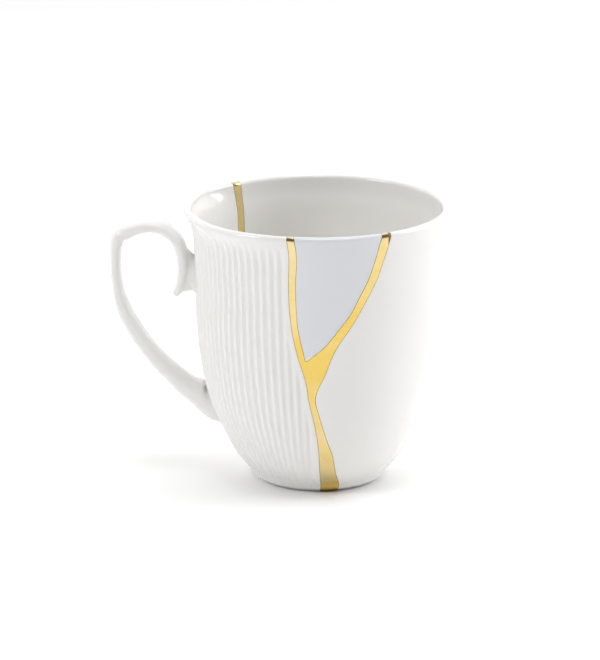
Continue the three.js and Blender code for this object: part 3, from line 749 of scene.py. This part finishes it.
# How deep the gold's tone is, by height as a share of the mug's: deepest at the fork and the foot,
# and palest towards the lip, where the paleness is a painted reflection of the brighter light
# above.
GOLD_TONE_AND_REFLECTION = np.array([
    (0, 0.8), (0.035, 0.6), (0.06, 0.2), (0.12, 0.3), (0.3, 0.45), (0.42, 0.7), (0.5, 1),
    (0.58, 0.95), (0.68, 0.6), (0.8, 0.35), (1, 0.1),
])
# The right arm is this much deeper, between these azimuths.
RIGHT_ARM_DEEPER = 0.3
RIGHT_ARM = (0, 15)
# Columns across an arm, as shares of its width.
ACROSS_GOLD = np.array([0, 0.03, 0.08, 0.15, 0.24, 0.36, 0.5, 0.64, 0.76, 0.85, 0.92, 0.97, 1])

gold_section = cup_section(np.concatenate([
    np.linspace(FOOT_HEIGHT, 50, 90), np.linspace(50.2, 58, 40), np.linspace(58.5, WALL_TOP, 74),
]))
gold_height = gold_section["height"]
gold_radius = gold_section["plain"]["r"]
gold_outside = gold_section["outside"]
gold_rows = len(gold_height)
tip_row = int(np.argmin(np.abs(gold_height[:gold_rows // 2] - TIP_SHARE * HEIGHT)))
tip_height = gold_height[tip_row]
above_tip = gold_height > tip_height

stem_left = seam_border(gold_section, front_left, *FRONT_AT_FOOT, -1, 0)
stem_right = seam_border(gold_section, front_right, *FRONT_AT_FOOT, 1, 0)
beside_pale_left = through(PALE_LEFT, gold_height / HEIGHT)
beside_pale_right = through(PALE_RIGHT, gold_height / HEIGHT)
tip_azimuth = (PALE_LEFT[0, 1] + PALE_RIGHT[0, 1]) / 2
stem_middle = (stem_left + stem_right) / 2
crossed = beside_pale_left > beside_pale_right
beside_pale_left = np.where(crossed, tip_azimuth, beside_pale_left)
beside_pale_right = np.where(crossed, tip_azimuth, beside_pale_right)
# Below the pale shard's point both arms share the line that runs from it down into the stem.
blend = soft(gold_height, tip_height - STEM_BLEND, tip_height)
shared = stem_middle * (1 - blend) + tip_azimuth * blend
inner_left = np.where(above_tip, beside_pale_left, shared)
inner_right = np.where(above_tip, beside_pale_right, shared)

# Painted reflections: brown just outside the lip's crest, where the gold mirrors the dark horizon,
# and round the edge of the foot, where it mirrors the shadowed floor; the crest is painted pale as
# a highlight.
lip_turn = np.degrees(np.arcsin(np.clip((gold_height - WALL_TOP) / LIP_ROUNDING, 0, 1)))
lip_dark_reflection = soft(lip_turn, *BROWN_FROM) * (1 - soft(lip_turn, *BROWN_TO)) * gold_outside
foot_dark_reflection = (1 - soft(gold_section["plain"]["z"], *FOOT_REFLECTION_HEIGHTS)) * gold_outside
foot_dark_reflection *= gold_radius > FOOT_REFLECTION_RADIUS
painted_dark_reflection = np.maximum(LIP_DARK_REFLECTION * lip_dark_reflection, FOOT_DARK_REFLECTION * foot_dark_reflection)
# The lip's crest is painted pale: a painted highlight.
crest_highlight = soft(lip_turn, *PALE_FROM)
# Partly a painted reflection: the gold is paler towards the lip.
gold_tone_and_reflection = through(GOLD_TONE_AND_REFLECTION, gold_height / HEIGHT)


def gold_arm(left, right, border_left, border_right, near_tip, wedge=0):
    """One arm of the seam: its azimuths, its lift over the glaze and the share of brown in its
    colour, from a hairline at the borders and from painted dark reflections. It is lifted to a low
    crown, and beside every border, and with near_tip round the pale shard's point, it dips by the
    square of the share of the shoulder that is left. A wedge is how wide a painted dark reflection
    runs along the arm's right border at the lip."""
    azimuth = left[:, None] + (right - left)[:, None] * ACROSS_GOLD[None, :]
    distance = border_distance(gold_section, azimuth, border_left, border_right)
    if near_tip:
        aside = np.radians(azimuth - tip_azimuth) * gold_radius[:, None]
        down = (tip_height - gold_height)[:, None]
        distance = np.minimum(distance, np.where(down >= 0, np.hypot(aside, down), distance))
    rise = 1 - (1 - ramp(distance, 0, SEAM_SHOULDER)) ** 2
    offset = SEAM_CROWN * soft(distance, 0, CROWN_REACH) - SEAM_DIP * (1 - rise)
    hairline = HAIRLINE_STRENGTH * (1 - soft(distance, *HAIRLINE))
    # Brown share: the hairline, and the painted dark reflections at the lip and the foot.
    hairline_and_dark_reflection = np.maximum(hairline, painted_dark_reflection[:, None])
    # A painted dark reflection: a brown wedge along the right border at the lip.
    if wedge:
        up = ramp(gold_height, HEIGHT - WEDGE_LENGTH, WALL_TOP)
        reach = wedge * (up * gold_outside)[:, None]
        to_right = np.radians(right[:, None] - azimuth) * gold_radius[:, None]
        edge = soft(to_right, WEDGE_DARKEST_SHARE * reach, reach + WEDGE_SOFT)
        painted_light = ramp(reach, 0, WEDGE_FULL) * (1 - edge)
        hairline_and_dark_reflection = np.maximum(hairline_and_dark_reflection, LIP_DARK_REFLECTION * painted_light)
    return azimuth, offset, hairline_and_dark_reflection


right_of_left_arm = np.where(above_tip, beside_pale_left, stem_right)
left_of_right_arm = np.where(above_tip, beside_pale_right, stem_left)
rear_arm_left = seam_border(gold_section, rear_left, *REAR_AT_FOOT, -1, 0)
rear_arm_right = seam_border(gold_section, rear_right, *REAR_AT_FOOT, 1, 0)
arms = [
    gold_arm(stem_left, inner_left, stem_left, right_of_left_arm, near_tip=True),
    gold_arm(inner_right, stem_right, left_of_right_arm, stem_right, near_tip=True,
             wedge=WEDGE_WIDTH),
    gold_arm(rear_arm_left, rear_arm_right, rear_arm_left, rear_arm_right, near_tip=False),
]

# Each arm is a grid over both faces, closed along its broken edges down to the lowest row given:
# below the pale shard's point the two front arms are one, so they share no edge there.
gold_points = [cup_points(gold_section, azimuth, lift, flared=True) for azimuth, lift, _ in arms]
wide = len(ACROSS_GOLD)
arm_size = gold_rows * wide
gold_faces = []
for number, (lowest_left, lowest_right) in enumerate([(0, tip_row), (tip_row, 0), (0, 0)]):
    first = number * arm_size
    gold_faces += grid_faces(gold_rows, wide, first)
    gold_faces += edge_faces(gold_rows, wide, 0, first, lowest_left)
    gold_faces += edge_faces(gold_rows, wide, -1, first, lowest_right)

# Where the three meet in the middle of the base, a plate closes each face and two quads the sides.
meeting = [number * arm_size + np.arange(wide) for number in range(3)]
ring = np.concatenate([meeting[0], meeting[1][1:], meeting[2]])
to_floor = (gold_rows - 1) * wide
gold_faces.append(ring[::-1].tolist())
gold_faces.append((ring + to_floor).tolist())
for here, there in ((meeting[1][-1], meeting[2][0]), (meeting[2][-1], meeting[0][0])):
    gold_faces.append([int(here), int(there), int(there + to_floor), int(here + to_floor)])

gold_seam = make_mesh(
    "gold_seam_leaf",
    np.concatenate([points.reshape(-1, 3) for points in gold_points]),
    gold_faces,
    {
        # Brown share (hairline and painted dark reflections), painted crest highlight, and tone
        # partly painted by height.
        "hairline_and_dark_reflection": np.concatenate([hairline_and_dark_reflection.ravel() for _, _, hairline_and_dark_reflection in arms]),
        "crest_highlight_share": np.tile(np.repeat(crest_highlight, wide), len(arms)),
        "tone": np.concatenate([
            (gold_tone_and_reflection[:, None] + RIGHT_ARM_DEEPER * soft(azimuth, *RIGHT_ARM)).ravel()
            for azimuth, _, _ in arms
        ]),
    },
)


GOLD_THIN = "E4D09F"
GOLD_DEEP = "DFC067"
# Pale gold painted on the lip's crest as a highlight.
GOLD_CREST_HIGHLIGHT = "E2D8C2"
# Brown of the hairline and of the painted dark reflections at the lip, the foot and the wedge.
HAIRLINE_AND_DARK_BROWN = "6E5424"


def burnished_gold(name):
    """Gold powder burnished on lacquer: a bright metal with soft reflections, burnishing ripples
    drawn 1.6 mm wide so that they show, an uneven tone in patches of 9 mm and by height, its
    paleness towards the lip a painted reflection, and a brown, less of a metal, in a hairline at
    the borders and as painted dark reflections below the lip's crest, round the foot and in a wedge
    on the right arm; the crest is painted pale as a highlight."""
    material = new_material(name)
    tree = material.node_tree
    place = add(tree, "ShaderNodeTexCoord", {})
    # Brown share: the hairline, and painted dark reflections at the lip, the foot and the wedge.
    hairline_and_dark_reflection = add(tree, "ShaderNodeAttribute", {}, attribute_name="hairline_and_dark_reflection")
    # Share of the painted highlight on the lip's crest.
    crest_highlight_share = add(tree, "ShaderNodeAttribute", {}, attribute_name="crest_highlight_share")
    # Tone by height, its paleness towards the lip a painted reflection, and deeper on the right
    # arm.
    tone = add(tree, "ShaderNodeAttribute", {}, attribute_name="tone")
    patches = add(tree, "ShaderNodeTexNoise", {
        "Vector": place.outputs["Object"], "Scale": per_mm(9), "Detail": 4.0, "Roughness": 0.6,
    })
    grain = add(tree, "ShaderNodeTexNoise", {
        "Vector": place.outputs["Object"], "Scale": per_mm(1.6), "Detail": 3.0, "Roughness": 0.55,
    })
    patchy = add(tree, "ShaderNodeMapRange", {
        "Value": patches.outputs["Fac"], "From Min": 0.3, "From Max": 0.7,
        "To Min": -0.25, "To Max": 0.25,
    })
    depth = add(tree, "ShaderNodeMath", {
        0: tone.outputs["Fac"], 1: patchy.outputs["Result"],
    }, operation="ADD", use_clamp=True)
    leaf = add(tree, "ShaderNodeMix", {
        0: depth.outputs["Value"], 6: linear(GOLD_THIN), 7: linear(GOLD_DEEP),
    }, data_type="RGBA")
    # Mixes in the painted highlight on the lip's crest.
    painted_light = add(tree, "ShaderNodeMix", {
        0: crest_highlight_share.outputs["Fac"], 6: leaf.outputs[2], 7: linear(GOLD_CREST_HIGHLIGHT),
    }, data_type="RGBA")
    # Mixes in brown: the hairline, and the painted dark reflections.
    colour = add(tree, "ShaderNodeMix", {
        0: hairline_and_dark_reflection.outputs["Fac"], 6: painted_light.outputs[2], 7: linear(HAIRLINE_AND_DARK_BROWN),
    }, data_type="RGBA")
    metal = add(tree, "ShaderNodeMapRange", {
        "Value": hairline_and_dark_reflection.outputs["Fac"], "From Min": 0.0, "From Max": 1.0,
        "To Min": 1.0, "To Max": 0.4,
    })
    roughness = add(tree, "ShaderNodeMapRange", {
        "Value": grain.outputs["Fac"], "From Min": 0.3, "From Max": 0.7,
        "To Min": 0.16, "To Max": 0.28,
    })
    bump = add(tree, "ShaderNodeBump", {
        "Height": grain.outputs["Fac"], "Distance": 0.03 * MM, "Strength": 0.7,
    })
    shader = add(tree, "ShaderNodeBsdfPrincipled", {
        "Base Color": colour.outputs[2], "Metallic": metal.outputs["Result"],
        "Roughness": roughness.outputs["Result"], "Normal": bump.outputs["Normal"],
    })
    add(tree, "ShaderNodeOutputMaterial", {"Surface": shader.outputs["BSDF"]})
    return material


gold_seam.data.materials.append(burnished_gold("burnished_gold_on_lacquer"))
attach(gold_seam, "root")
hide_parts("gold_seam")


# Floor, light and camera.
# White paper in a tent that is bright behind, with softboxes at the right, at the front left and
# overhead, and a long lens from a little above the rim. Places and sizes here are in metres.

FLOOR_HALF = 4.0
floor_corners = np.array([(-1, -1, 0), (1, -1, 0), (1, 1, 0), (-1, 1, 0)]) * FLOOR_HALF
floor_mesh = bpy.data.meshes.new("floor")
floor_mesh.from_pydata(floor_corners.tolist(), [], [(0, 1, 2, 3)])
floor = bpy.data.objects.new("floor", floor_mesh)
bpy.context.scene.collection.objects.link(floor)
paper = new_material("matt_white_paper")
paper_shader = add(paper.node_tree, "ShaderNodeBsdfPrincipled", {
    "Base Color": linear("FEFEFE"), "Roughness": 0.9,
})
add(paper.node_tree, "ShaderNodeOutputMaterial", {"Surface": paper_shader.outputs["BSDF"]})
floor_mesh.materials.append(paper)

world = bpy.data.worlds.new("tent")
world.use_nodes = True
bpy.context.scene.world = world
sky = world.node_tree
sky.nodes.clear()
direction = add(sky, "ShaderNodeTexCoord", {})
parts = add(sky, "ShaderNodeSeparateXYZ", {"Vector": direction.outputs["Generated"]})


def panel(axis, start, end, dark, bright):
    """Brightness that rises softly from dark to bright between two values of the direction."""
    return add(sky, "ShaderNodeMapRange", {
        "Value": parts.outputs[axis], "From Min": start, "From Max": end,
        "To Min": dark, "To Max": bright,
    }, interpolation_type="SMOOTHSTEP").outputs["Result"]


right_and_left = add(sky, "ShaderNodeMath", {
    0: panel("X", 0.0, 0.6, 0.18, 0.22), 1: panel("X", 0.0, -0.6, 0.0, 0.03),
}, operation="ADD")
tent = add(sky, "ShaderNodeMath", {
    0: right_and_left.outputs["Value"], 1: panel("Y", -0.3, 0.5, 0.0, 0.98),
}, operation="ADD")
backdrop = add(sky, "ShaderNodeBackground", {
    "Color": linear("FFFFFF"), "Strength": tent.outputs["Value"],
})
add(sky, "ShaderNodeOutputWorld", {"Surface": backdrop.outputs["Background"]})


def softbox(name, place, target, width, height, watts):
    """A rectangular area light at place, facing target."""
    light = bpy.data.lights.new(name, "AREA")
    light.shape = "RECTANGLE"
    light.size, light.size_y, light.energy = width, height, watts
    lamp = bpy.data.objects.new(name, light)
    lamp.location = place
    lamp.rotation_euler = (Vector(target) - Vector(place)).to_track_quat("-Z", "Y").to_euler()
    bpy.context.scene.collection.objects.link(lamp)


cup_middle = (AXIS_X * MM, 0, 0.05)
softbox("right_softbox", (1.45, 0.2, 0.8), cup_middle, 0.85, 0.9, 10.8)
softbox("left_softbox", (-1.25, -0.65, 1.0), cup_middle, 0.5, 0.6, 8.1)
softbox("top_softbox", (0.15, -0.3, 1.6), cup_middle, 0.8, 0.8, 8.6)

# The camera's distance and aim are in millimetres, as its lens and frame are.
CAMERA_DISTANCE = 1500.0
CAMERA_ELEVATION = math.radians(16.0945)
AIM_X = -6.5645 + AXIS_X
AIM_Z = 51.874
LENS = 235.65
FRAME_WIDTH = 36
lens = bpy.data.cameras.new("camera")
lens.lens = LENS
lens.sensor_width = FRAME_WIDTH
lens.clip_end = 20
camera = bpy.data.objects.new("camera", lens)
aim = Vector((AIM_X, AXIS_Y, AIM_Z)) * MM
back = Vector((0, -math.cos(CAMERA_ELEVATION), math.sin(CAMERA_ELEVATION)))
camera.location = aim + back * CAMERA_DISTANCE * MM
camera.rotation_euler = (-back).to_track_quat("-Z", "Y").to_euler()
bpy.context.scene.collection.objects.link(camera)
bpy.context.scene.camera = camera
bpy.context.scene.view_settings.view_transform = "Standard"
